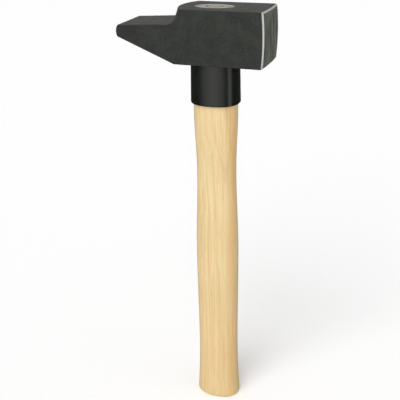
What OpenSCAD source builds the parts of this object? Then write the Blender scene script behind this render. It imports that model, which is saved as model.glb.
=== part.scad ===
// Machinist hammer with a square striking face and a stepped cross peen.
// The handle stands along Z with its butt end on Z = 0, and the striking face looks along +X.
// All sizes are in millimetres.

/* [Head] */
// Side of the square block that carries the striking face
head_size = 42; // [38:0.5:46]
// From the handle axis to the middle of the striking face
face_reach = 46; // [40:0.1:52]
// Radius of the slight crown on the striking face
face_crown_r = 190; // [120:5:400]
// Width of the ground bevel round the striking face
face_bevel = 1.1; // [0.8:0.1:3]
// Width of the flats that break the long edges of the block
edge_break = 0.5; // [0.3:0.1:1.5]

/* [Eye boss] */
// From the handle axis to the centre of the boss curve, towards the face
boss_x = 5.5; // [4:0.5:10]
// Plan radius of the boss end at the top of the head
boss_top_r = 33.3; // [32:0.1:40]
// How far the boss end leans out over the height of the step
boss_lean = 3.8; // [2:0.1:8]
// Radius of the hollow at the foot of the boss
boss_fillet_r = 10; // [2:0.5:11]

/* [Peen] */
// From the handle axis to the crest of the peen
peen_reach = 75.4; // [68:0.1:84]
// Height of the step from the top of the head down to the peen
step_drop = 12; // [10:0.1:15]
// How much lower the peen's top is at the tip than at the step
peen_fall = 1.9; // [0.5:0.1:4]
// Thickness of the peen at its tip
peen_tip_h = 8.7; // [6:0.1:11]
// How far the nose of the peen bulges
peen_nose = 1.2; // [0.8:0.1:3]
// How much the nose leans back from its lower to its upper edge
peen_lean = 0.9; // [0:0.1:2]
// From the handle axis to where the underside starts to rise
taper_start = 26.9; // [22:0.1:32]
// Corner radius of the peen seen from above
peen_corner_r = 1; // [1:0.5:4]

/* [Eye] */
// Length of the eye at the top of the head
eye_top_len = 32; // [29:0.1:35]
// Width of the eye at the top of the head
eye_top_w = 20.4; // [18:0.1:25]
// Length of the eye at its waist
eye_waist_len = 29.6; // [27:0.1:32]
// Width of the eye at its waist
eye_waist_w = 18.6; // [17:0.1:23]
// Length of the eye at the underside of the head
eye_low_len = 31.2; // [28:0.1:34]
// Width of the eye at the underside of the head
eye_low_w = 20.2; // [19:0.1:24]
// Height of the eye's waist above the underside of the head
eye_waist_z = 17; // [12:0.5:26]

/* [Handle] */
// From the butt end to the underside of the head
handle_len = 322; // [280:1:380]
// Width of the handle at the butt end
butt_w = 39.9; // [36:0.1:44]
// Thickness of the handle at the butt end
butt_t = 30.3; // [27:0.1:34]
// Radius round the edge of the butt end
butt_edge_r = 2.5; // [1:0.1:4]
// Height of the slim place above the butt
grip_z = 60; // [45:1:75]
// Width of the handle at the slim place above the butt
grip_w = 35.8; // [32:0.1:38]
// Thickness of the handle at the slim place above the butt
grip_t = 27.2; // [24:0.1:30]
// Height of the swell that fills the palm
belly_z = 152; // [135:1:170]
// Width of the handle at the swell
belly_w = 37; // [34:0.1:41]
// Thickness of the handle at the swell
belly_t = 28.4; // [25:0.1:32]
// From the underside of the head down to the waist of the handle
waist_below = 90; // [78:1:104]
// Width of the handle at its waist
waist_w = 33.1; // [29:0.1:36]
// Thickness of the handle at its waist
waist_t = 26.4; // [23:0.1:29]
// From the underside of the head down to where the neck starts
neck_below = 40; // [38:1:50]
// Width of the neck under the head
neck_w = 36; // [34:0.1:39]
// Thickness of the neck under the head
neck_t = 30; // [28:0.1:34]
// How square the oval section is, where 2 is an ellipse
oval_power = 2.3; // [2:0.1:3]

/* [Collar] */
// Height of the collar
collar_h = 33.2; // [26:0.1:37]
// Wall of the collar at its top edge
collar_wall = 1.4; // [1.2:0.1:3]
// How much thicker the wall is at the lower edge
collar_flare = 0.6; // [0.4:0.1:2]
// Radius round the lower edge of the collar
collar_edge_r = 0.8; // [0.5:0.1:2.5]

/* [Wedges] */
// Depth of the saw cut in the end of the handle
kerf_depth = 34; // [31:0.5:38]
// Width of the saw cut
kerf_w = 1.6; // [1.2:0.1:2]
// Depth that the wooden wedge is driven to
wedge_depth = 28; // [22:0.5:30]
// Thickness of the wooden wedge at its top
wedge_top_t = 4.6; // [3.5:0.1:6]
// Outside diameter of the ring wedge
ring_d = 14; // [11:0.5:16]
// Thickness of the ring wedge at its top edge
ring_wall = 1.5; // [1:0.1:2]
// Thickness of the ring wedge at its driving edge
ring_tip_wall = 0.5; // [0.3:0.1:0.8]
// Height of the ring wedge
ring_h = 11; // [8:0.5:14]

/* [Fits] */
// Clearance between the tenon of the handle and the eye
eye_fit = 0.08; // [0.05:0.01:0.2]
// Clearance between the collar and the handle
collar_fit = 0.1; // [0.05:0.01:0.3]
// Clearance on each side of a wedge
wedge_fit = 0.04; // [0.02:0.01:0.1]
// How far the end of the handle lies below the top of the head
end_sink = 0.3; // [0.1:0.1:1]
// How far the ring wedge is driven below the end of the handle
ring_sink = 0.2; // [0.1:0.1:1]

/* [Hidden] */

// Points round one oval section, steps along a round edge and along a drawn arc
oval_points = 44;
edge_steps = 4;
arc_steps = 6;
// Longest stretch of the handle between two of its sections
section_gap = 11;
$fn = 96;
crown_fn = 300;
// How far a cut or a limit runs past the face that it goes through
past = 1;

// Heights that several pieces share
head_low_z = handle_len;
head_top_z = handle_len + head_size;
head_mid_z = handle_len + head_size / 2;
tenon_top_z = head_top_z - end_sink;
waist_z = handle_len - waist_below;
neck_z = handle_len - neck_below;
collar_low_z = handle_len - collar_h;
peen_top_z = head_top_z - step_drop;
tip_top_z = peen_top_z - peen_fall;

// Wall and hollow of the boss end, as a slope from the vertical
boss_tilt = atan(boss_lean / step_drop);
hollow_r = boss_top_r + (step_drop - boss_fillet_r) * tan(boss_tilt) + boss_fillet_r / cos(boss_tilt);
hollow_z = peen_top_z + boss_fillet_r;

// Points of an arc from one angle to another
function arc(cx, cy, r, from, to) =
    [for (i = [0 : arc_steps]) let (a = from + (to - from) * i / arc_steps)
        [cx + r * cos(a), cy + r * sin(a)]];

// A signed power, which bends a circle into a squarer oval
function bend(v, p) = sign(v) * pow(abs(v), 2 / p);

// One oval ring of a skin: width along X, thickness along Y
function ring(z, w, t, p) =
    [for (i = [0 : oval_points - 1]) let (a = 360 * i / oval_points)
        [w / 2 * bend(cos(a), p), t / 2 * bend(sin(a), p), z]];

// A closed skin over a list of rings: capped at its ends, or joined end to end
module skin(rings, looped = false) {
    last = len(rings) - 1;
    n = oval_points;
    sides = [
        for (k = [0 : looped ? last : last - 1])
        for (i = [0 : n - 1])
        let (a = k * n, b = (k == last ? 0 : k + 1) * n, j = (i + 1) % n)
        each [[a + i, b + j, a + j], [a + i, b + i, b + j]]
    ];
    caps = looped ? [] : [[for (i = [0 : n - 1]) i], [for (i = [n - 1 : -1 : 0]) last * n + i]];
    polyhedron(points = [for (r = rings) each r], faces = concat(sides, caps), convexity = 4);
}

// Smooth change from one value to another
function ease(a, b, t) = a + (b - a) * (1 - cos(180 * t)) / 2;

// Outline of the handle: one size at height z, from its five stations
function swell(z, butt, grip, belly, waist, neck) =
    z < grip_z ? grip + (butt - grip) * pow(1 - z / grip_z, 2) :
    z < belly_z ? ease(grip, belly, (z - grip_z) / (belly_z - grip_z)) :
    z < waist_z ? ease(belly, waist, (z - belly_z) / (waist_z - belly_z)) :
    z < neck_z ? ease(waist, neck, (z - waist_z) / (neck_z - waist_z)) :
    neck;
function handle_w(z) = swell(z, butt_w, grip_w, belly_w, waist_w, neck_w);
function handle_t(z) = swell(z, butt_t, grip_t, belly_t, waist_t, neck_t);
function handle_ring(z, grow) = ring(z, handle_w(z) + 2 * grow, handle_t(z) + 2 * grow, oval_power);

// Heights after one station, up to and with the next
function levels(from, to) =
    let (steps = ceil(abs(to - from) / section_gap))
    [for (i = [1 : steps]) from + (to - from) * i / steps];

// A rounded lower edge, from its flat end up: [height, how far the ring is drawn in]
function round_edge(r) =
    [for (i = [0 : edge_steps]) let (a = 90 * (1 - i / edge_steps)) [r * (1 - sin(a)), r * (1 - cos(a))]];

// Size of the eye at height z, straight from the waist to either end
function eye_size(z, low, mid, top) =
    z < head_low_z + eye_waist_z ? low + (mid - low) * (z - head_low_z) / eye_waist_z :
    mid + (top - mid) * (z - head_low_z - eye_waist_z) / (head_size - eye_waist_z);
function eye_ring(z, grow) = ring(z, eye_size(z, eye_low_len, eye_waist_len, eye_top_len) + 2 * grow,
    eye_size(z, eye_low_w, eye_waist_w, eye_top_w) + 2 * grow, 2);
function eye_rings(from, to, grow) =
    [eye_ring(from, grow), eye_ring(head_low_z + eye_waist_z, grow), eye_ring(to, grow)];

// Extrudes a drawing of X and Z sizes along Y
module across(width) {
    rotate([90, 0, 0]) linear_extrude(width, center = true) children();
}

// Side outline of the block and the peen, without the boss end
module side_outline() {
    chord = sqrt(pow(peen_tip_h, 2) + pow(peen_lean, 2));
    nose_r = (pow(chord / 2, 2) + pow(peen_nose, 2)) / (2 * peen_nose);
    half_angle = asin(chord / 2 / nose_r);
    turn = atan(peen_lean / peen_tip_h);
    // Middle of the chord, set so that the crest of the nose lies at the peen's reach
    chord_x = nose_r - peen_reach - (nose_r - peen_nose) * cos(turn);
    nose_mid = [chord_x, tip_top_z - peen_tip_h / 2];
    nose_c = nose_mid + (nose_r - peen_nose) * [cos(turn), -sin(turn)];
    start = 180 - turn;
    polygon(concat(
        [[boss_x, head_top_z], [boss_x, peen_top_z], [boss_x - hollow_r, peen_top_z]],
        arc(nose_c[0], nose_c[1], nose_r, start - half_angle, start + half_angle),
        [[-taper_start, head_low_z], [face_reach, head_low_z], [face_reach, head_top_z]]
    ));
}

// Rounded end of the boss, turned about its own upright axis
module boss_end() {
    translate([boss_x, 0, 0]) rotate_extrude() polygon(concat(
        [[0, peen_top_z - past], [0, head_top_z], [boss_top_r, head_top_z]],
        arc(hollow_r, hollow_z, boss_fillet_r, 180 + boss_tilt, 270),
        [[hollow_r, peen_top_z - past]]
    ));
}

// Block section across the head, with its long edges broken
module head_section() {
    h = head_size / 2;
    k = h - edge_break;
    polygon([[-k, -h], [k, -h], [h, -k], [h, k], [k, h], [-k, h], [-h, k], [-h, -k]]);
}

// A disc about the crown's centre, whose rim is two cones that bevel one pair of edges
module rim_disc() {
    h = head_size / 2;
    // The cone meets the crown here, and runs on to where the disc is half as high as the face
    edge_r = sqrt(pow(face_crown_r, 2) - pow(h - face_bevel, 2));
    run = h / 2 - face_bevel;
    near_r = edge_r - face_bevel - past;
    near_h = h + past;
    far_r = edge_r + run;
    far_h = h / 2;
    rotate_extrude() polygon([
        [0, near_h], [near_r, near_h], [far_r, far_h],
        [far_r, -far_h], [near_r, -near_h], [0, -near_h]
    ]);
}

// Crowned and bevelled limit of the striking end
module face_limit() {
    translate([face_reach - face_crown_r, 0, head_mid_z]) intersection() {
        sphere(face_crown_r, $fn = crown_fn);
        rim_disc();
        rotate([90, 0, 0]) rim_disc();
    }
}

// Plan of the head, with the corners of the peen rounded
module head_plan() {
    h = head_size / 2;
    x = -peen_reach;
    r = peen_corner_r;
    polygon(concat(
        [[face_reach, -h], [face_reach, h]],
        arc(x + r, h - r, r, 90, 180),
        arc(x + r, r - h, r, 180, 270)
    ));
}

module head() {
    bar_len = 2 * (peen_reach + face_reach);
    boss_side = peen_reach + boss_x;
    color([0.23, 0.24, 0.23]) difference() {
        intersection() {
            union() {
                across(head_size) side_outline();
                intersection() {
                    boss_end();
                    translate([-peen_reach, -head_size / 2, head_low_z])
                        cube([boss_side, head_size, head_size]);
                }
            }
            translate([0, 0, head_mid_z]) rotate([90, 0, 90])
                linear_extrude(bar_len, center = true) head_section();
            translate([0, 0, head_low_z]) linear_extrude(head_size) head_plan();
            face_limit();
        }
        skin(eye_rings(head_low_z - past, head_top_z + past, 0));
    }
}

// Taper of the wooden wedge, drawn across the handle, grown by a clearance and carried on above its top
module wedge_outline(grow, above) {
    low_z = tenon_top_z - wedge_depth - grow;
    top_z = tenon_top_z + above;
    low_half = kerf_w / 2 + grow;
    top_half = wedge_top_t / 2 + grow + above * (wedge_top_t - kerf_w) / 2 / wedge_depth;
    polygon([[-top_half, top_z], [-low_half, low_z], [low_half, low_z], [top_half, top_z]]);
}

// Ring wedge, thinner towards its driving edge, grown by a clearance and carried on above its top
module ring_solid(grow, above) {
    top_z = tenon_top_z - ring_sink + above;
    low_z = tenon_top_z - ring_sink - ring_h - grow;
    outer = ring_d / 2;
    side = (ring_wall - ring_tip_wall) / 2;
    wider = grow + above * side / ring_h;
    rotate_extrude() polygon([
        [outer + wider, top_z], [outer - ring_wall - wider, top_z],
        [outer - ring_wall + side - grow, low_z], [outer - side + grow, low_z]
    ]);
}

module handle() {
    shaft = concat(
        [for (e = round_edge(butt_edge_r)) handle_ring(e[0], -e[1])],
        [for (z = levels(butt_edge_r, grip_z)) handle_ring(z, 0)],
        [for (z = levels(grip_z, belly_z)) handle_ring(z, 0)],
        [for (z = levels(belly_z, waist_z)) handle_ring(z, 0)],
        [for (z = levels(waist_z, neck_z)) handle_ring(z, 0)],
        [handle_ring(head_low_z, 0)]
    );
    color([0.87, 0.72, 0.48]) difference() {
        skin(concat(shaft, eye_rings(head_low_z, tenon_top_z, -eye_fit)));
        rotate([90, 0, 90]) linear_extrude(2 * neck_w, center = true) {
            wedge_outline(wedge_fit, past);
            translate([-kerf_w / 2, tenon_top_z - kerf_depth]) square([kerf_w, kerf_depth]);
        }
        ring_solid(wedge_fit, ring_sink + past);
    }
}

// How far the outside of the collar stands out from the handle at height z
function collar_grow(z) = collar_fit + collar_wall + collar_flare * (head_low_z - z) / collar_h;

module collar() {
    edge_top_z = collar_low_z + collar_edge_r;
    lower = [for (e = round_edge(collar_edge_r)) [collar_low_z + e[0], e[1]]];
    color([0.1, 0.1, 0.1]) skin(concat(
        [for (e = lower) handle_ring(e[0], collar_grow(e[0]) - e[1])],
        [for (z = levels(edge_top_z, head_low_z)) handle_ring(z, collar_grow(z))],
        [for (z = concat(head_low_z, levels(head_low_z, collar_low_z))) handle_ring(z, collar_fit)]
    ), looped = true);
}

module wooden_wedge() {
    color([0.72, 0.58, 0.42]) difference() {
        intersection() {
            skin(eye_rings(head_low_z, tenon_top_z, -eye_fit));
            rotate([90, 0, 90]) linear_extrude(2 * neck_w, center = true) wedge_outline(0, 0);
        }
        ring_solid(wedge_fit, ring_sink + past);
    }
}

module ring_wedge() {
    color([0.6, 0.6, 0.6]) ring_solid(0, 0);
}

head();
handle();
collar();
wooden_wedge();
ring_wedge();
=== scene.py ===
import math

import bmesh
import bpy
from mathutils import Matrix, Vector


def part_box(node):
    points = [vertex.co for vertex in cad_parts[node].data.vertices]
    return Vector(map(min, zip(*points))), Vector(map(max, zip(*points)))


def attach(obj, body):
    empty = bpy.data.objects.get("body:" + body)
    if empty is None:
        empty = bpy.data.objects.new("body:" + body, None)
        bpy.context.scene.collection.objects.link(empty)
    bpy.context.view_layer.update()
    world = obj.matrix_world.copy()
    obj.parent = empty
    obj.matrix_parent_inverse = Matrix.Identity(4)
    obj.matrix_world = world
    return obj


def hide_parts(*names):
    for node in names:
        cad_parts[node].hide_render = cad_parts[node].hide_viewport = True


# Machinist hammer: square striking face, stepped cross peen, oval wooden handle, black collar.
# Metres. The handle stands along Z with its butt end on Z = 0, the striking face looks along +X.
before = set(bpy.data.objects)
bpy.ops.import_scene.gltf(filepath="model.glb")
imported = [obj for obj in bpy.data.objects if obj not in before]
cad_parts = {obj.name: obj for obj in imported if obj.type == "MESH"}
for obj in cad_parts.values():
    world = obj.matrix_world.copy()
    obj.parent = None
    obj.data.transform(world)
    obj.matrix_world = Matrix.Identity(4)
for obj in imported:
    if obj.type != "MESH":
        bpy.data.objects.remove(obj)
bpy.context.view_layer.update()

near = 1e-5  # places closer than this count as one place


def inMetres(sizes):  # a piece's sizes are written in millimetres
    return {key: tuple(v / 1000 for v in size) if isinstance(size, tuple) else size / 1000
            for key, size in sizes.items()}


# Working in edit mode

def clearHands():  # out of edit mode, with nothing selected
    if bpy.context.object and bpy.context.object.mode != "OBJECT":
        bpy.ops.object.mode_set(mode="OBJECT")
    bpy.ops.object.select_all(action="DESELECT")


def startPiece(name):  # the primitive just added becomes a piece, ready for shaping
    piece = bpy.context.object
    piece.name = piece.data.name = name
    bpy.ops.object.transform_apply(location=True, rotation=True, scale=True)
    bpy.ops.object.mode_set(mode="EDIT")
    bpy.ops.mesh.select_all(action="DESELECT")
    return piece


def pick(kind, test):  # selects the vertices, edges or faces for which the test holds
    bpy.ops.mesh.select_mode(type={"verts": "VERT", "edges": "EDGE", "faces": "FACE"}[kind])
    mesh = bmesh.from_edit_mesh(bpy.context.object.data)
    for item in mesh.verts:
        item.select = False
    mesh.select_flush(False)
    for item in getattr(mesh, kind):
        if test(item):
            item.select_set(True)
    mesh.select_flush_mode()
    bmesh.update_edit_mesh(bpy.context.object.data)


def middle(item):  # of an edge or a face
    return sum((v.co for v in item.verts), Vector()) / len(item.verts)


def cutAcross(places, axis):  # one straight cut right through at each place along an axis
    normal = Vector([n == axis for n in "xyz"])
    for place in places:
        bpy.ops.mesh.select_all(action="SELECT")
        bpy.ops.mesh.bisect(plane_co=normal * place, plane_no=normal)


def faceOut():  # turns every face outwards and leaves edit mode
    bpy.ops.mesh.select_all(action="SELECT")
    bpy.ops.mesh.normals_make_consistent(inside=False)
    clearHands()


def drawLine(name, points):  # a line pulled out of one point, from place to place
    clearHands()
    bpy.ops.mesh.primitive_plane_add(size=0.001, location=points[0])
    line = startPiece(name)
    bpy.ops.mesh.select_all(action="SELECT")
    bpy.ops.mesh.merge(type="CENTER")
    for here, there in zip(points, points[1:]):
        step = Vector(there) - Vector(here)
        bpy.ops.mesh.extrude_region_move(TRANSFORM_OT_translate={"value": step})
    return line


def turned(name, points, centre, axis, steps):  # a line turned full circle
    form = drawLine(name, points)
    bpy.ops.mesh.select_all(action="SELECT")
    bpy.ops.mesh.spin(steps=steps, angle=math.tau, center=centre, axis=axis)
    bpy.ops.mesh.select_all(action="SELECT")
    bpy.ops.mesh.remove_doubles(threshold=1e-6)
    faceOut()
    return form


def drawUp(stations):  # pulls the selected ring through (height, width, thickness) stations
    for (z0, w0, t0), (z1, w1, t1) in zip(stations, stations[1:]):
        bpy.ops.mesh.extrude_edges_move(TRANSFORM_OT_translate={"value": (0, 0, z1 - z0)})
        bpy.ops.transform.resize(value=(w1 / w0, t1 / t0, 1), center_override=(0, 0, z1))


def squareUp(width, thickness, fromPower, toPower):  # bends the selected ring's oval
    mesh = bmesh.from_edit_mesh(bpy.context.object.data)
    for v in mesh.verts:
        if v.select:
            for axis, size in ((0, width / 2), (1, thickness / 2)):
                share = min(1, abs(v.co[axis]) / size)
                v.co[axis] = math.copysign(size * share ** (fromPower / toPower), v.co[axis])
    bmesh.update_edit_mesh(bpy.context.object.data)


def ovalStack(name, stations, power=2, points=64):  # a stack of ovals, open at both ends
    clearHands()
    z, width, thickness = stations[0]
    bpy.ops.mesh.primitive_circle_add(vertices=points, radius=0.5, location=(0, 0, z))
    stack = bpy.context.object
    stack.scale = (width, thickness, 1)
    startPiece(name)
    bpy.ops.mesh.select_all(action="SELECT")
    squareUp(width, thickness, 2, power)
    drawUp(stations)
    return stack


def capEnds():  # closes both ends of a stack
    bpy.ops.mesh.select_all(action="SELECT")
    bpy.ops.mesh.fill_holes(sides=0)
    faceOut()


def joinEnds():  # joins the two ends of a stack that comes back down inside itself
    bpy.ops.mesh.select_mode(type="EDGE")
    bpy.ops.mesh.select_all(action="DESELECT")
    bpy.ops.mesh.select_non_manifold()
    bpy.ops.mesh.bridge_edge_loops()
    faceOut()


# Finishing

def applyAll(piece):
    clearHands()
    bpy.context.view_layer.objects.active = piece
    piece.select_set(True)
    for modifier in list(piece.modifiers):
        bpy.ops.object.modifier_apply(modifier=modifier.name)


def wrapOnto(piece, form, test):  # presses some vertices back along -X onto a form
    clearHands()
    group = piece.vertex_groups.new(name="wrapped")
    group.add([v.index for v in piece.data.vertices if test(v.co)], 1, "REPLACE")
    wrap = piece.modifiers.new("wrap", "SHRINKWRAP")
    wrap.target, wrap.vertex_group = form, group.name
    wrap.wrap_method = "PROJECT"
    wrap.use_project_x = wrap.use_negative_direction = True
    wrap.use_positive_direction = False
    applyAll(piece)
    piece.vertex_groups.clear()
    bpy.data.objects.remove(form)


def combine(piece, tool, operation, keep=False):
    cut = piece.modifiers.new("cut", "BOOLEAN")
    cut.operation, cut.object, cut.solver = operation, tool, "EXACT"
    applyAll(piece)
    if not keep:
        bpy.data.objects.remove(tool)


def roundEdges(piece, radiusOf, largest, segments=4):  # each edge gets the radius it asks for
    clearHands()
    bpy.context.view_layer.objects.active = piece
    bpy.ops.object.mode_set(mode="EDIT")
    mesh = bmesh.from_edit_mesh(piece.data)
    weight = mesh.edges.layers.float.new("bevel_weight_edge")
    for edge in mesh.edges:
        edge[weight] = radiusOf(edge) / largest
    bmesh.update_edit_mesh(piece.data)
    bpy.ops.object.mode_set(mode="OBJECT")
    bevel = piece.modifiers.new("edges", "BEVEL")
    bevel.limit_method, bevel.width, bevel.segments = "WEIGHT", largest, segments
    bevel.use_clamp_overlap = False
    applyAll(piece)


def smoothFaces(piece, angle=32):
    clearHands()
    bpy.context.view_layer.objects.active = piece
    piece.select_set(True)
    bpy.ops.object.shade_smooth_by_angle(angle=math.radians(angle))
    weigh = piece.modifiers.new("weigh", "WEIGHTED_NORMAL")
    weigh.keep_sharp = True
    applyAll(piece)


def settle(piece, node, slot, *materials):  # the finished piece takes its node's place
    for material in materials:
        piece.data.materials.append(material)
    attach(piece, "root")
    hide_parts(node)
    low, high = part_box(node)
    places = [v.co for v in piece.data.vertices]
    reach = [end(place[axis] for place in places) for end in (min, max) for axis in range(3)]
    off = [round(1000 * (here - there), 2) for here, there in zip(reach, (*low, *high))]
    print("made", piece.name, len(piece.data.polygons), "faces, off its node by mm", off)


# Materials

def fromHex(text):  # an sRGB hex colour as linear light
    values = [int(text[i:i + 2], 16) / 255 for i in (0, 2, 4)]
    return [v / 12.92 if v <= 0.04045 else ((v + 0.055) / 1.055) ** 2.4 for v in values] + [1.0]


def grey(level):
    return (level, level, level, 1)


def addNode(tree, kind, inputs=None, stops=(), **settings):  # a node, its settings and links
    node = tree.nodes.new(kind)
    for key, value in settings.items():
        setattr(node, key, value)
    for key, value in (inputs or {}).items():
        if isinstance(value, bpy.types.NodeSocket):
            tree.links.new(value, node.inputs[key])
        else:
            node.inputs[key].default_value = value
    if stops:  # a colour ramp's (position, colour) pairs
        points = node.color_ramp.elements
        while len(points) < len(stops):
            points.new(0.5)
        for point, (position, colour) in zip(points, stops):
            point.position, point.color = position, colour
    return node


def newMaterial(name):
    material = bpy.data.materials.new(name)
    material.use_nodes = True
    material.node_tree.nodes.clear()
    return material, material.node_tree


def finishMaterial(tree, sockets):
    shader = addNode(tree, "ShaderNodeBsdfPrincipled", sockets)
    addNode(tree, "ShaderNodeOutputMaterial", {"Surface": shader.outputs[0]})


def paintedForging():
    # Drop-forged steel under black satin stoving paint: the paint lies over the fine pebble of
    # the forging scale, so highlights are broad and slightly grainy, with soft cloudy patches.
    sizes = inMetres({"pebble": 0.9, "patch": 8})  # the real pebble, about 0.3, wouldn't show
    material, tree = newMaterial("satinPaintOnForgedSteel")
    place = addNode(tree, "ShaderNodeTexCoord").outputs["Object"]
    pebble = addNode(tree, "ShaderNodeTexNoise", {
        "Vector": place, "Scale": 1 / sizes["pebble"], "Detail": 3.0, "Roughness": 0.6})
    patch = addNode(tree, "ShaderNodeTexNoise", {
        "Vector": place, "Scale": 1 / sizes["patch"], "Detail": 2.0})
    grain = addNode(tree, "ShaderNodeMix", {
        "Factor": 0.4, "A": pebble.outputs[0], "B": patch.outputs[0]})
    colour = addNode(tree, "ShaderNodeValToRGB", {"Fac": grain.outputs[0]},
                     stops=[(0.34, fromHex("151713")), (0.66, fromHex("2f322c"))])
    gloss = addNode(tree, "ShaderNodeValToRGB", {"Fac": patch.outputs[0]},
                    stops=[(0.3, grey(0.46)), (0.7, grey(0.56))])
    bump = addNode(tree, "ShaderNodeBump", {
        "Height": pebble.outputs[0], "Strength": 0.25, "Distance": 0.0002})
    finishMaterial(tree, {
        "Base Color": colour.outputs[0], "Roughness": gloss.outputs[0],
        "Normal": bump.outputs[0], "Specular IOR Level": 0.36})
    return material


def groundSteel():
    # Carbon steel ground bright on a belt: fine parallel scratches across the narrow bevel,
    # drawn wider than the real 0.1.
    sizes = inMetres({"scratch": 0.35, "length": 6})
    material, tree = newMaterial("beltGroundSteel")
    place = addNode(tree, "ShaderNodeTexCoord").outputs["Object"]
    along = addNode(tree, "ShaderNodeMapping", {
        "Vector": place, "Rotation": (0, 0, math.radians(45)),
        "Scale": (1 / sizes["length"], 1 / sizes["scratch"], 1 / sizes["scratch"])})
    scratch = addNode(tree, "ShaderNodeTexNoise", {
        "Vector": along.outputs[0], "Scale": 1.0, "Detail": 3.0})
    colour = addNode(tree, "ShaderNodeValToRGB", {"Fac": scratch.outputs[0]},
                     stops=[(0.3, fromHex("c2c1bb")), (0.7, fromHex("e4e3dd"))])
    gloss = addNode(tree, "ShaderNodeValToRGB", {"Fac": scratch.outputs[0]},
                    stops=[(0.3, grey(0.34)), (0.7, grey(0.24))])
    bump = addNode(tree, "ShaderNodeBump", {
        "Height": scratch.outputs[0], "Strength": 0.2, "Distance": 0.0001})
    finishMaterial(tree, {
        "Base Color": colour.outputs[0], "Metallic": 1.0, "Roughness": gloss.outputs[0],
        "Normal": bump.outputs[0]})
    return material


def brushedFace():
    # The hardened face, linished up and down and then blacked with the rest: dark grey oxide
    # with long upright streaks of light and dark, drawn as wide as they show from a distance.
    sizes = inMetres({"streak": 1.6, "length": 40, "fine": 0.5})
    material, tree = newMaterial("blackedLinishedSteel")
    place = addNode(tree, "ShaderNodeTexCoord").outputs["Object"]
    along = addNode(tree, "ShaderNodeMapping", {
        "Vector": place, "Scale": (1, 1, sizes["streak"] / sizes["length"])})
    streak = addNode(tree, "ShaderNodeTexNoise", {
        "Vector": along.outputs[0], "Scale": 1 / sizes["streak"], "Detail": 4.0,
        "Roughness": 0.65})
    fine = addNode(tree, "ShaderNodeTexNoise", {
        "Vector": along.outputs[0], "Scale": 1 / sizes["fine"], "Detail": 2.0})
    colour = addNode(tree, "ShaderNodeValToRGB", {"Fac": streak.outputs[0]},
                     stops=[(0.36, fromHex("2f312c")), (0.64, fromHex("7e8176"))])
    gloss = addNode(tree, "ShaderNodeValToRGB", {"Fac": streak.outputs[0]},
                    stops=[(0.3, grey(0.55)), (0.7, grey(0.42))])
    bump = addNode(tree, "ShaderNodeBump", {
        "Height": fine.outputs[0], "Strength": 0.3, "Distance": 0.0001})
    finishMaterial(tree, {
        "Base Color": colour.outputs[0], "Roughness": gloss.outputs[0],
        "Normal": bump.outputs[0], "Specular IOR Level": 0.25})
    return material


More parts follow.
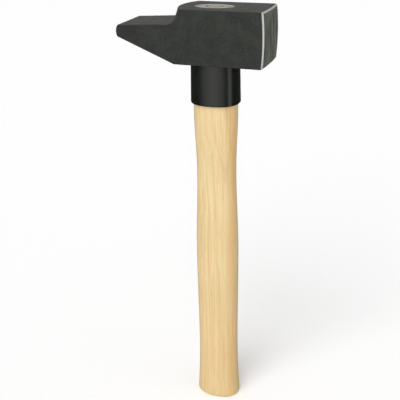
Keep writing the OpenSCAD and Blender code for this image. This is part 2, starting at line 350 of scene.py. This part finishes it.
def lacqueredHickory():
    # Straight-grained hickory sapwood under satin lacquer: cream with long tan streaks, thin
    # darker lines where the year's first growth comes out, short pores, and one warmer
    # heartwood streak along the edge.
    sizes = inMetres({
        "wave": 30, "waver": 6, "ring": 2.8, "pithX": -34, "pithY": 62,
        "streak": 1.8, "streakLength": 170, "fine": 0.8, "fineLength": 70,
        "pore": 0.55, "poreLength": 9,  # drawn wider than the real 0.2, so that the pores show
        "drift": 50, "buttShade": 210, "warmX": 15.2, "warmHalf": 4, "warmLength": 75})
    # the tone for the darker butt end is painted shade, not a colour of the wood
    tones = {
        "streaks": ((0.27, "deb589"), (0.42, "e3c893"), (0.56, "ebd4a1"), (0.72, "e8c49e")),
        "fine": "c3a46b", "drift": "d7be8a", "buttShade": "d2b47f", "warm": "e6b36c",
        "ring": "b98a52", "pore": "8d6535"}
    material, tree = newMaterial("lacqueredHickory")
    place = addNode(tree, "ShaderNodeTexCoord").outputs["Object"]

    # the whole figure wavers slowly along the stick
    slow = addNode(tree, "ShaderNodeMapping", {"Vector": place, "Scale": (0.5, 0.5, 0.22)})
    wave = addNode(tree, "ShaderNodeTexNoise", {
        "Vector": slow.outputs[0], "Scale": 1 / sizes["wave"], "Detail": 2.0})
    pull = addNode(tree, "ShaderNodeVectorMath", {
        0: wave.outputs["Color"], 1: (0.5, 0.5, 0.5)}, operation="SUBTRACT")
    bent = addNode(tree, "ShaderNodeVectorMath", {
        0: pull.outputs[0], 1: (sizes["waver"], sizes["waver"], 0.0), 2: place},
        operation="MULTIPLY_ADD").outputs[0]

    def alongGrain(vector, mark, detail, roughness=0.5):  # a pattern drawn out up the stick
        drawn = addNode(tree, "ShaderNodeMapping", {
            "Vector": vector, "Scale": (1, 1, sizes[mark] / sizes[mark + "Length"])})
        return addNode(tree, "ShaderNodeTexNoise", {
            "Vector": drawn.outputs[0], "Scale": 1 / sizes[mark], "Detail": detail,
            "Roughness": roughness}).outputs[0]

    # long streaks of lighter and darker wood
    streak = alongGrain(bent, "streak", 3.0, 0.55)
    wood = addNode(tree, "ShaderNodeValToRGB", {"Fac": streak},
                   stops=[(position, fromHex(tone)) for position, tone in tones["streaks"]])

    # hair-fine darker lines, and a slow drift towards a greyer tone
    fine = addNode(tree, "ShaderNodeMapRange", {
        "Value": alongGrain(bent, "fine", 2.0), "From Min": 0.5, "From Max": 0.7,
        "To Min": 0.0, "To Max": 0.42})
    slowTone = addNode(tree, "ShaderNodeTexNoise", {
        "Vector": place, "Scale": 1 / sizes["drift"], "Detail": 1.0})
    drift = addNode(tree, "ShaderNodeValToRGB", {"Fac": slowTone.outputs[0]},
                    stops=[(0.4, grey(0)), (0.65, grey(0.45))])

    # painted shade: darker towards the butt, standing in for less light reaching the lower stick
    up = addNode(tree, "ShaderNodeSeparateXYZ", {0: place}).outputs[2]
    buttShade = addNode(tree, "ShaderNodeMapRange", {
        "Value": up, "From Min": sizes["buttShade"], "From Max": 0.0, "To Min": 0.0, "To Max": 0.45})

    # the warm streak, a layer of heartwood that cuts across the stick and comes and goes
    across = addNode(tree, "ShaderNodeSeparateXYZ", {0: bent}).outputs[0]
    off = addNode(tree, "ShaderNodeMath", {0: across, 1: sizes["warmX"]}, operation="SUBTRACT")
    away = addNode(tree, "ShaderNodeMath", {0: off.outputs[0]}, operation="ABSOLUTE")
    layer = addNode(tree, "ShaderNodeMapRange", {
        "Value": away.outputs[0], "From Min": sizes["warmHalf"], "From Max": 0.0,
        "To Min": 0.0, "To Max": 0.6}, interpolation_type="SMOOTHSTEP")
    squashed = addNode(tree, "ShaderNodeMapping", {"Vector": place, "Scale": (0.3, 0.3, 1)})
    comes = addNode(tree, "ShaderNodeTexNoise", {
        "Vector": squashed.outputs[0], "Scale": 1 / sizes["warmLength"], "Detail": 1.0})
    share = addNode(tree, "ShaderNodeValToRGB", {"Fac": comes.outputs[0]},
                    stops=[(0.38, grey(0.4)), (0.55, grey(0.95))])
    warm = addNode(tree, "ShaderNodeMath", {0: layer.outputs[0], 1: share.outputs[0]},
                   operation="MULTIPLY")

    # growth rings round a pith that lies outside the stick and leans away from it
    toPith = addNode(tree, "ShaderNodeMapping", {
        "Vector": bent, "Location": (-sizes["pithX"], -sizes["pithY"], 0.0),
        "Rotation": (math.radians(0.9), math.radians(0.5), 0)})
    flat = addNode(tree, "ShaderNodeVectorMath", {
        0: toPith.outputs[0], 1: (1.0, 1.0, 0.0)}, operation="MULTIPLY")
    reach = addNode(tree, "ShaderNodeVectorMath", {0: flat.outputs[0]}, operation="LENGTH")
    years = addNode(tree, "ShaderNodeMath", {
        0: reach.outputs["Value"], 1: 1 / sizes["ring"]}, operation="MULTIPLY")
    season = addNode(tree, "ShaderNodeMath", {0: years.outputs[0]}, operation="FRACT")
    line = addNode(tree, "ShaderNodeValToRGB", {"Fac": season.outputs[0]},
                   stops=[(0.0, grey(0.9)), (0.1, grey(0.25)), (0.45, grey(0.0)),
                          (0.9, grey(0.15)), (1.0, grey(0.9))])
    ring = addNode(tree, "ShaderNodeMath", {0: line.outputs[0], 1: 0.22}, operation="MULTIPLY")

    # pores: short dark dashes along the grain
    pore = addNode(tree, "ShaderNodeMapRange", {
        "Value": alongGrain(place, "pore", 1.0), "From Min": 0.62, "From Max": 0.75,
        "To Min": 0.0, "To Max": 0.22})

    # each tone goes over the last; a colour Mix has its colours on 6 and 7 and gives output 2
    colour = wood.outputs[0]
    for cover, tone in ((fine, "fine"), (drift, "drift"), (buttShade, "buttShade"), (warm, "warm"),
                        (ring, "ring"), (pore, "pore")):
        colour = addNode(tree, "ShaderNodeMix", {
            "Factor": cover.outputs[0], 6: colour, 7: fromHex(tones[tone])},
            data_type="RGBA").outputs[2]

    gloss = addNode(tree, "ShaderNodeValToRGB", {"Fac": streak},
                    stops=[(0.3, grey(0.5)), (0.7, grey(0.4))])
    sunk = addNode(tree, "ShaderNodeMath", {0: pore.outputs[0], 1: -1.0}, operation="MULTIPLY")
    bump = addNode(tree, "ShaderNodeBump", {
        "Height": sunk.outputs[0], "Strength": 0.3, "Distance": 0.0002})
    finishMaterial(tree, {
        "Base Color": colour, "Roughness": gloss.outputs[0], "Normal": bump.outputs[0],
        "Specular IOR Level": 0.35, "Coat Weight": 0.2, "Coat Roughness": 0.3})
    return material


def sawnEndGrain(name, light, dark):
    # Hardwood sawn across and left bare in the eye: dull greyish tan, speckled with the open
    # ends of the pores, in faint bands. The specks are drawn wider than the real 0.3.
    sizes = inMetres({"speck": 0.8, "band": 3.4})
    material, tree = newMaterial(name)
    place = addNode(tree, "ShaderNodeTexCoord").outputs["Object"]
    speck = addNode(tree, "ShaderNodeTexVoronoi", {
        "Vector": place, "Scale": 1 / sizes["speck"]}).outputs["Distance"]
    band = addNode(tree, "ShaderNodeTexNoise", {
        "Vector": place, "Scale": 1 / sizes["band"], "Detail": 3.0})
    mix = addNode(tree, "ShaderNodeMix", {"Factor": 0.6, "A": speck, "B": band.outputs[0]})
    colour = addNode(tree, "ShaderNodeValToRGB", {"Fac": mix.outputs[0]},
                     stops=[(0.25, fromHex(dark)), (0.6, fromHex(light))])
    bump = addNode(tree, "ShaderNodeBump", {
        "Height": speck, "Strength": 0.3, "Distance": 0.0002})
    finishMaterial(tree, {
        "Base Color": colour.outputs[0], "Roughness": 0.8, "Normal": bump.outputs[0],
        "Specular IOR Level": 0.25})
    return material


def turnedSteel():
    # Mild steel turned on a lathe and driven in with blows: dull grey, finely mottled.
    sizes = inMetres({"mottle": 0.3})
    material, tree = newMaterial("turnedMildSteel")
    place = addNode(tree, "ShaderNodeTexCoord").outputs["Object"]
    mottle = addNode(tree, "ShaderNodeTexNoise", {
        "Vector": place, "Scale": 1 / sizes["mottle"], "Detail": 2.0})
    colour = addNode(tree, "ShaderNodeValToRGB", {"Fac": mottle.outputs[0]},
                     stops=[(0.3, fromHex("8a8781")), (0.7, fromHex("a7a49c"))])
    finishMaterial(tree, {
        "Base Color": colour.outputs[0], "Metallic": 1.0, "Roughness": 0.55})
    return material


def mouldedCollar():
    # Black polypropylene moulded in a spark-eroded tool: soft broad highlights, hardly any
    # colour, and a fine grain, drawn coarser than the real 0.1.
    sizes = inMetres({"spark": 0.6, "flow": 22})
    material, tree = newMaterial("satinMouldedPolypropylene")
    place = addNode(tree, "ShaderNodeTexCoord").outputs["Object"]
    spark = addNode(tree, "ShaderNodeTexNoise", {
        "Vector": place, "Scale": 1 / sizes["spark"], "Detail": 2.0})
    flow = addNode(tree, "ShaderNodeTexNoise", {
        "Vector": place, "Scale": 1 / sizes["flow"], "Detail": 2.0})
    colour = addNode(tree, "ShaderNodeValToRGB", {"Fac": flow.outputs[0]},
                     stops=[(0.3, fromHex("0c100a")), (0.7, fromHex("141810"))])
    gloss = addNode(tree, "ShaderNodeValToRGB", {"Fac": flow.outputs[0]},
                    stops=[(0.3, grey(0.22)), (0.7, grey(0.28))])
    bump = addNode(tree, "ShaderNodeBump", {
        "Height": spark.outputs[0], "Strength": 0.1, "Distance": 0.0001})
    finishMaterial(tree, {
        "Base Color": colour.outputs[0], "Roughness": gloss.outputs[0],
        "Normal": bump.outputs[0], "Specular IOR Level": 0.53})
    return material


# Head: a bar with a grid of cuts, whose ends are pressed onto turned forms

head = inMetres({
    "side": 42, "low": 322, "top": 364, "edgeBreak": 0.5,  # the square block
    "faceX": 46, "crownR": 190, "groundBevel": 1.1, "bevelRim": 0.15,  # its striking face
    "bossX": 5.5, "bossTopR": 33.3, "bossLean": 3.8, "hollowR": 10, "wallX": -20,  # the boss
    "stepDrop": 12, "peenFall": 1.9, "peenReach": 75.4, "taperX": -26.9,  # the peen
    "tipH": 8.7, "noseBulge": 1.2, "noseLean": 0.9, "noseCorner": 1.5, "noseEdge": 0.4,
    "eyeRim": 0.35})
eyeStations = [tuple(v / 1000 for v in station) for station in (  # height, width, thickness
    (321, 31.294, 20.294), (339, 29.6, 18.6), (365, 32.096, 20.472))]


def makeHead():
    h = head
    half, peenTop = h["side"] / 2, h["top"] - h["stepDrop"]
    cells, arcSteps = 16, 6
    spare = 0.001  # how far an end stands out until it is pressed back onto its form
    clearHands()
    length = h["faceX"] + spare - h["wallX"]
    bpy.ops.mesh.primitive_cube_add(
        size=1, location=(h["wallX"] + length / 2, 0, h["low"] + half),
        scale=(length, h["side"], h["side"]))
    piece = startPiece("forgedHead")
    tilt = math.atan(h["bossLean"] / h["stepDrop"])
    arcAngles = [math.radians(270) + (tilt - math.radians(90)) * i / arcSteps
                 for i in range(arcSteps + 1)]
    hollowZ = peenTop + h["hollowR"]
    cutAcross([-half + h["side"] * i / cells for i in range(1, cells)], "y")
    cutAcross([h["low"] + h["side"] * i / cells for i in range(1, cells)], "z")
    cutAcross([hollowZ + h["hollowR"] * math.sin(a) for a in arcAngles], "z")

    # the peen: the lower part of the end, pulled out and drawn down flat at the nose
    chord = math.hypot(h["tipH"], h["noseLean"])
    noseR = ((chord / 2) ** 2 + h["noseBulge"] ** 2) / (2 * h["noseBulge"])
    turn = math.atan(h["noseLean"] / h["tipH"])
    noseX = -h["peenReach"] + noseR
    tipTop = peenTop - h["peenFall"]
    noseZ = tipTop - h["tipH"] / 2 - (noseR - h["noseBulge"]) * math.sin(turn)
    tipX = -h["peenReach"] + h["noseBulge"] + h["noseLean"] / 2 + spare
    pick("faces", lambda f: f.normal.x < -0.9 and middle(f).z < peenTop)
    bpy.ops.mesh.extrude_region_move(TRANSFORM_OT_translate={"value": (-h["side"] / 2, 0, 0)})
    bpy.ops.transform.resize(value=(0, 1, h["tipH"] / (peenTop - h["low"])),
                             center_override=(tipX, 0, peenTop))
    bpy.ops.transform.translate(value=(0, 0, -h["peenFall"]))
    pick("verts", lambda v: abs(v.co.x - h["wallX"]) < near and v.co.z < h["low"] + near)
    bpy.ops.transform.translate(value=(h["taperX"] - h["wallX"], 0, 0))

    # three forms: the turned boss end with its hollow, the round nose and the crown
    footR = (h["bossTopR"] + (h["stepDrop"] - h["hollowR"]) * math.tan(tilt)
             + h["hollowR"] / math.cos(tilt))
    past = 0.002  # the boss's wall runs on by this above its top and below its foot
    wall = [(h["bossTopR"] - past * math.tan(tilt), h["top"] + past)]
    wall += [(footR + h["hollowR"] * math.cos(a), hollowZ + h["hollowR"] * math.sin(a))
             for a in reversed(arcAngles)]
    wall += [(footR, peenTop - past)]
    boss = turned("bossForm", [(h["bossX"] - r, 0, z) for r, z in wall],
                  (h["bossX"], 0, 0), (0, 0, 1), steps=192)
    wrapOnto(piece, boss, lambda co: abs(co.x - h["wallX"]) < near and co.z > peenTop - near)
    clearHands()
    bpy.ops.mesh.primitive_cylinder_add(
        vertices=256, radius=noseR, depth=2 * h["side"], location=(noseX, 0, noseZ),
        rotation=(math.radians(90), 0, 0))
    nose = startPiece("noseForm")
    wrapOnto(piece, nose, lambda co: abs(co.x - tipX) < near)
    crownRings = [0.002 * i for i in range(18)]  # every 2 mm, out past the face's corners
    sag = [h["crownR"] - math.sqrt(h["crownR"] ** 2 - r ** 2) for r in crownRings]
    crown = turned("crownForm", [(h["faceX"] - s, 0, h["low"] + half + r)
                                 for r, s in zip(crownRings, sag)],
                   (0, 0, h["low"] + half), (1, 0, 0), steps=96)
    wrapOnto(piece, crown, lambda co: abs(co.x - h["faceX"] - spare) < near)

    # the peen's top is levelled from just outside the hollow's foot, and flat sides become one
    # face each
    bpy.context.view_layer.objects.active = piece
    bpy.ops.object.mode_set(mode="EDIT")
    levelX = h["bossX"] - footR - 0.0002
    cutAcross([levelX], "x")
    pick("verts", lambda v: abs(v.co.x - levelX) < near and v.co.z > peenTop - spare)
    bpy.ops.transform.resize(value=(1, 1, 0), center_override=(0, 0, peenTop))
    bpy.ops.mesh.select_all(action="SELECT")
    bpy.ops.mesh.dissolve_limited(angle_limit=math.radians(0.15))

    # ground bevel round the face, in its own material slot
    crownDeep = 0.0028  # the crown falls back by less than this at the face's corners
    pick("edges", lambda e: min(v.co.x for v in e.verts) > h["faceX"] - crownDeep
         and e.calc_face_angle(0) > math.radians(45))
    bpy.ops.object.mode_set(mode="OBJECT")
    for material in (paintedForging(), groundSteel(), brushedFace()):
        piece.data.materials.append(material)
    bpy.ops.object.mode_set(mode="EDIT")
    bpy.ops.mesh.bevel(offset=h["groundBevel"], segments=1, material=1)
    pick("faces", lambda f: f.normal.x > 0.97 and middle(f).x > h["faceX"] - crownDeep)
    piece.active_material_index = 2
    bpy.ops.object.material_slot_assign()

    eye = ovalStack("eyeForm", eyeStations)
    capEnds()
    combine(piece, eye, "DIFFERENCE")

    bevelDeep = 0.006  # the bevel's rims lie within this of the face
    eyeRoom = (0.0165, 0.0115)  # a little more than half the eye's width and thickness

    def radiusOf(edge):
        if edge.calc_face_angle(0) < math.radians(20):
            return 0
        where = middle(edge)
        if min(v.co.x for v in edge.verts) > h["faceX"] - bevelDeep:
            return h["bevelRim"]
        if abs(where.x) < eyeRoom[0] and abs(where.y) < eyeRoom[1]:
            return h["eyeRim"] if abs(where.z - h["low"] - half) > half - near else 0
        if where.x < tipX:
            return h["noseCorner"] if abs(where.y) > half - near else h["noseEdge"]
        return h["edgeBreak"]

    roundEdges(piece, radiusOf, h["noseCorner"])
    smoothFaces(piece)
    settle(piece, "head", "forged_head")


# Handle: ovals pulled from the butt end up to the end of the tenon

handle = inMetres({  # butt, grip, belly, waist and neck are height, width, thickness
    "butt": (0, 39.9, 30.3), "buttEdge": 2.5, "grip": (60, 35.8, 27.2),
    "belly": (152, 37, 28.4), "waist": (232, 33.1, 26.4), "neck": (282, 36, 30),
    "shoulder": 322, "tenonTop": 363.7, "eyeFit": 0.08,
    "bareFrom": 0.5})  # how far above the shoulder the wood is bare
ovalPower = 2.3  # how square the oval is, where 2 is an ellipse


def handleAt(z):  # width and thickness of the handle at height z
    stations = [handle[key] for key in ("grip", "belly", "waist", "neck")]
    if z < stations[0][0]:
        share = (1 - z / stations[0][0]) ** 2
        return [g + (b - g) * share for g, b in zip(stations[0][1:], handle["butt"][1:])]
    for here, there in zip(stations, stations[1:]):
        if z < there[0]:
            share = (1 - math.cos(math.pi * (z - here[0]) / (there[0] - here[0]))) / 2
            return [a + (b - a) * share for a, b in zip(here[1:], there[1:])]
    return list(stations[-1][1:])


def roundedEnd(radius, steps):  # (height, how far the ring is drawn in) from the flat end up
    angles = [math.pi / 2 * (1 - i / steps) for i in range(steps + 1)]
    return [(radius * (1 - math.sin(a)), radius * (1 - math.cos(a))) for a in angles]


def eyeAt(z, grow):  # the eye's station at height z, wider all round by grow
    for (z0, w0, t0), (z1, w1, t1) in zip(eyeStations, eyeStations[1:]):
        if z <= z1:
            share = (z - z0) / (z1 - z0)
            return (z, w0 + (w1 - w0) * share + 2 * grow, t0 + (t1 - t0) * share + 2 * grow)


def tenonStations():
    heights = (handle["shoulder"], eyeStations[1][0], handle["tenonTop"])
    return [eyeAt(z, -handle["eyeFit"]) for z in heights]


def makeHandle(wedgePocket, ringPocket):
    s = handle
    stations = []
    for z, inset in roundedEnd(s["buttEdge"], 6):
        width, thickness = handleAt(z)
        stations.append((z, width - 2 * inset, thickness - 2 * inset))
    levels = 56
    for i in range(1, levels + 1):
        z = s["buttEdge"] + (s["neck"][0] - s["buttEdge"]) * i / levels
        stations.append((z, *handleAt(z)))
    stations.append((s["shoulder"], *s["neck"][1:]))
    piece = ovalStack("hickoryHandle", stations, ovalPower, 72)

    # the shoulder, drawn in to the tenon
    low, waist, top = tenonStations()
    bpy.ops.mesh.extrude_edges_move(TRANSFORM_OT_translate={"value": (0, 0, 0)})
    squareUp(*s["neck"][1:], ovalPower, 2)
    bpy.ops.transform.resize(value=(low[1] / s["neck"][1], low[2] / s["neck"][2], 1),
                             center_override=(0, 0, low[0]))
    drawUp([low, waist, top])
    capEnds()
    for pocket in (wedgePocket, ringPocket):
        combine(piece, pocket, "DIFFERENCE", keep=True)
    piece.data.materials.append(lacqueredHickory())
    piece.data.materials.append(sawnEndGrain("sawnHickoryEndGrain", "b1b0a8", "8b8980"))
    for face in piece.data.polygons:
        if face.center.z > s["shoulder"] + s["bareFrom"]:
            face.material_index = 1
    smoothFaces(piece)
    settle(piece, "handle", "handle_wood")


# Collar: a moulded sleeve round the neck

collar = inMetres({"height": 33.2, "fit": 0.1, "topWall": 1.4, "flare": 0.6, "lowEdge": 0.8,
                   "topEdge": 0.3})


def makeCollar():
    c = collar
    top = head["low"]
    bottom = top - c["height"]
    outLevels, inLevels = 8, 4

    def outside(z, inset=0):
        width, thickness = handleAt(z)
        grow = c["fit"] + c["topWall"] + c["flare"] * (top - z) / c["height"] - inset
        return (z, width + 2 * grow, thickness + 2 * grow)

    def inside(z):
        width, thickness = handleAt(z)
        return (z, width + 2 * c["fit"], thickness + 2 * c["fit"])

    stations = [outside(bottom + up, inset) for up, inset in roundedEnd(c["lowEdge"], 6)]
    stations += [outside(bottom + c["lowEdge"] + (c["height"] - c["lowEdge"]) * i / outLevels)
                 for i in range(1, outLevels)]
    stations += [outside(top - up, inset) for up, inset in reversed(roundedEnd(c["topEdge"], 3))]
    stations += [inside(top - c["height"] * i / inLevels) for i in range(inLevels + 1)]
    piece = ovalStack("mouldedCollar", stations, ovalPower, 72)
    joinEnds()
    smoothFaces(piece)
    settle(piece, "collar", "collar_plastic", mouldedCollar())


# Wedges in the end of the tenon

wedges = inMetres({
    "depth": 28, "tip": 1.6, "topThick": 4.6, "length": 72,  # the block is longer than the eye
    "ringR": 7, "ringWall": 1.5, "ringTip": 0.5, "ringH": 11, "ringSink": 0.2, "ringEdge": 0.2,
    "fit": 0.04, "past": 1})


def wedgeForm(name, grow, above):  # a tapered block along X, carried on above its top
    w = wedges
    top, low = handle["tenonTop"] + above, handle["tenonTop"] - w["depth"] - grow
    lean = above * (w["topThick"] - w["tip"]) / w["depth"]
    topThick, tip = w["topThick"] + 2 * grow + lean, w["tip"] + 2 * grow
    clearHands()
    bpy.ops.mesh.primitive_cube_add(size=1, location=(0, 0, (top + low) / 2),
                                    scale=(w["length"], topThick, top - low))
    piece = startPiece(name)
    pick("faces", lambda f: f.normal.z < -0.9)
    bpy.ops.transform.resize(value=(1, tip / topThick, 1), center_override=(0, 0, low))
    clearHands()
    return piece


def ringForm(name, grow, above):  # a ring that tapers down to its driving edge
    w = wedges
    side = (w["ringWall"] - w["ringTip"]) / 2
    wider = grow + above * side / w["ringH"]
    top = handle["tenonTop"] - w["ringSink"] + above
    low = handle["tenonTop"] - w["ringSink"] - w["ringH"] - grow
    outTop, inTop = 2 * (w["ringR"] + wider), 2 * (w["ringR"] - w["ringWall"] - wider)
    outLow, inLow = 2 * (w["ringR"] - side + grow), 2 * (w["ringR"] - w["ringWall"] + side - grow)
    piece = ovalStack(name, [(top, outTop, outTop), (low, outLow, outLow), (low, inLow, inLow),
                             (top, inTop, inTop)])
    joinEnds()
    return piece


def makeWedges():
    w = wedges
    wedgePocket = wedgeForm("wedgePocket", w["fit"], w["past"])
    ringPocket = ringForm("ringPocket", w["fit"], w["ringSink"] + w["past"])
    ring = ringForm("ringWedge", 0, 0)
    rimDeep = 0.001  # the ring's top rims lie within this of the tenon's top
    roundEdges(ring, lambda e: w["ringEdge"] if e.calc_face_angle(0) > math.radians(40)
               and middle(e).z > handle["tenonTop"] - rimDeep else 0, w["ringEdge"], 3)
    smoothFaces(ring)
    settle(ring, "ring_wedge", "wedge_steel", turnedSteel())
    wood = wedgeForm("woodenWedge", 0, 0)
    tenon = ovalStack("tenonForm", tenonStations())
    capEnds()
    combine(wood, tenon, "INTERSECT")
    combine(wood, ringPocket, "DIFFERENCE", keep=True)
    smoothFaces(wood)
    settle(wood, "wooden_wedge", "wedge_wood",
           sawnEndGrain("beechWedgeEndGrain", "a39a8a", "7b7264"))
    makeHandle(wedgePocket, ringPocket)
    for pocket in (wedgePocket, ringPocket):
        bpy.data.objects.remove(pocket)


makeHead()
makeWedges()
makeCollar()


# Stage: pale floor, soft studio light, camera at the photograph's angle

room = {"floorSize": 14, "under": 0.0002, "wallR": 6.9, "wallHeight": 12}  # in metres


def makeFloor():
    clearHands()
    bpy.ops.mesh.primitive_plane_add(size=room["floorSize"], location=(0, 0, -room["under"]))
    floor = bpy.context.object
    floor.name = "paleFloor"
    floor.visible_glossy = False  # the softboxes are what the glossy parts show
    material, tree = newMaterial("paleStudioFloor")
    finishMaterial(tree, {
        "Base Color": fromHex("fafafa"), "Roughness": 1.0, "Specular IOR Level": 0.0,
        "Emission Color": grey(1), "Emission Strength": 0.07})
    floor.data.materials.append(material)


def makeBackdrop():  # a round wall as pale as the floor, so that low views show no horizon
    clearHands()
    bpy.ops.mesh.primitive_cylinder_add(
        vertices=96, radius=room["wallR"], depth=room["wallHeight"], end_fill_type="NOTHING")
    wall = bpy.context.object
    wall.name = "paleBackdrop"
    wall.visible_diffuse = wall.visible_glossy = wall.visible_shadow = False
    material, tree = newMaterial("paleBackdrop")
    finishMaterial(tree, {
        "Base Color": grey(0), "Specular IOR Level": 0.0,
        "Emission Color": fromHex("fdfdfc"), "Emission Strength": 1.0})
    wall.data.materials.append(material)


def direction(azimuth, elevation):  # azimuth 0 looks along -Y, 90 along +X, in degrees
    a, e = math.radians(azimuth), math.radians(elevation)
    return Vector((math.sin(a) * math.cos(e), -math.cos(a) * math.cos(e), math.sin(e)))


def makeWorld():
    # a soft white tent, bright above and dark below, with softboxes that the glossy parts show
    tent = {"above": 0.7, "below": 0.08}
    softboxes = {  # azimuth, elevation, how wide in degrees, how strong
        "broad": (-2, -8, 54, 1.0), "lower": (-8, -17, 22, 0.35), "right": (72, -12, 17, 1.6),
        "back": (200, -15, 30, 0.3), "fill": (82, 24, 32, 0.5)}
    world = bpy.data.worlds.new("studio")
    bpy.context.scene.world = world
    world.use_nodes = True
    tree = world.node_tree
    tree.nodes.clear()
    look = addNode(tree, "ShaderNodeTexCoord").outputs["Generated"]
    height = addNode(tree, "ShaderNodeSeparateXYZ", {0: look}).outputs[2]
    total = addNode(tree, "ShaderNodeMapRange", {
        "Value": height, "From Min": -0.25, "From Max": 0.3, "To Min": tent["below"],
        "To Max": tent["above"]}, interpolation_type="SMOOTHSTEP").outputs[0]
    for azimuth, elevation, wide, strong in softboxes.values():
        facing = addNode(tree, "ShaderNodeVectorMath", {
            0: look, 1: direction(azimuth, elevation)}, operation="DOT_PRODUCT")
        glow = addNode(tree, "ShaderNodeMapRange", {
            "Value": facing.outputs["Value"], "From Min": math.cos(math.radians(wide)),
            "From Max": 1.0, "To Min": 0.0, "To Max": strong}, interpolation_type="SMOOTHSTEP")
        total = addNode(tree, "ShaderNodeMath", {0: total, 1: glow.outputs[0]},
                        operation="ADD").outputs[0]
    background = addNode(tree, "ShaderNodeBackground", {"Strength": total})
    addNode(tree, "ShaderNodeOutputWorld", {"Surface": background.outputs[0]})


def makeSun():
    key = {"azimuth": -12, "elevation": 48, "strength": 1.5, "spread": 40}
    sun = bpy.data.lights.new("keyFromTheLeft", "SUN")
    sun.energy, sun.angle = key["strength"], math.radians(key["spread"])
    lamp = bpy.data.objects.new("keyFromTheLeft", sun)
    bpy.context.scene.collection.objects.link(lamp)
    towards = direction(key["azimuth"], key["elevation"])
    lamp.rotation_euler = towards.to_track_quat("Z", "Y").to_euler()


def makeCamera():
    shot = {"place": (0.178491, -0.514136, 0.451022), "azimuth": 20.6901,
            "elevation": 24.6404, "roll": -1.3218, "lens": 62.688, "film": 36}
    forward = -direction(shot["azimuth"], shot["elevation"])
    right = forward.cross(Vector((0, 0, 1))).normalized()
    right = Matrix.Rotation(math.radians(-shot["roll"]), 3, forward) @ right
    up = right.cross(forward)
    camera = bpy.data.objects.new("photoCamera", bpy.data.cameras.new("photoCamera"))
    bpy.context.scene.collection.objects.link(camera)
    camera.matrix_world = (Matrix.Translation(shot["place"])
                           @ Matrix((right, up, -forward)).transposed().to_4x4())
    camera.data.lens, camera.data.sensor_width = shot["lens"], shot["film"]
    camera.data.clip_start = 0.01
    bpy.context.scene.camera = camera


makeFloor()
makeBackdrop()
makeWorld()
makeSun()
makeCamera()
bpy.context.scene.view_settings.view_transform = "Standard"
print("stage set")
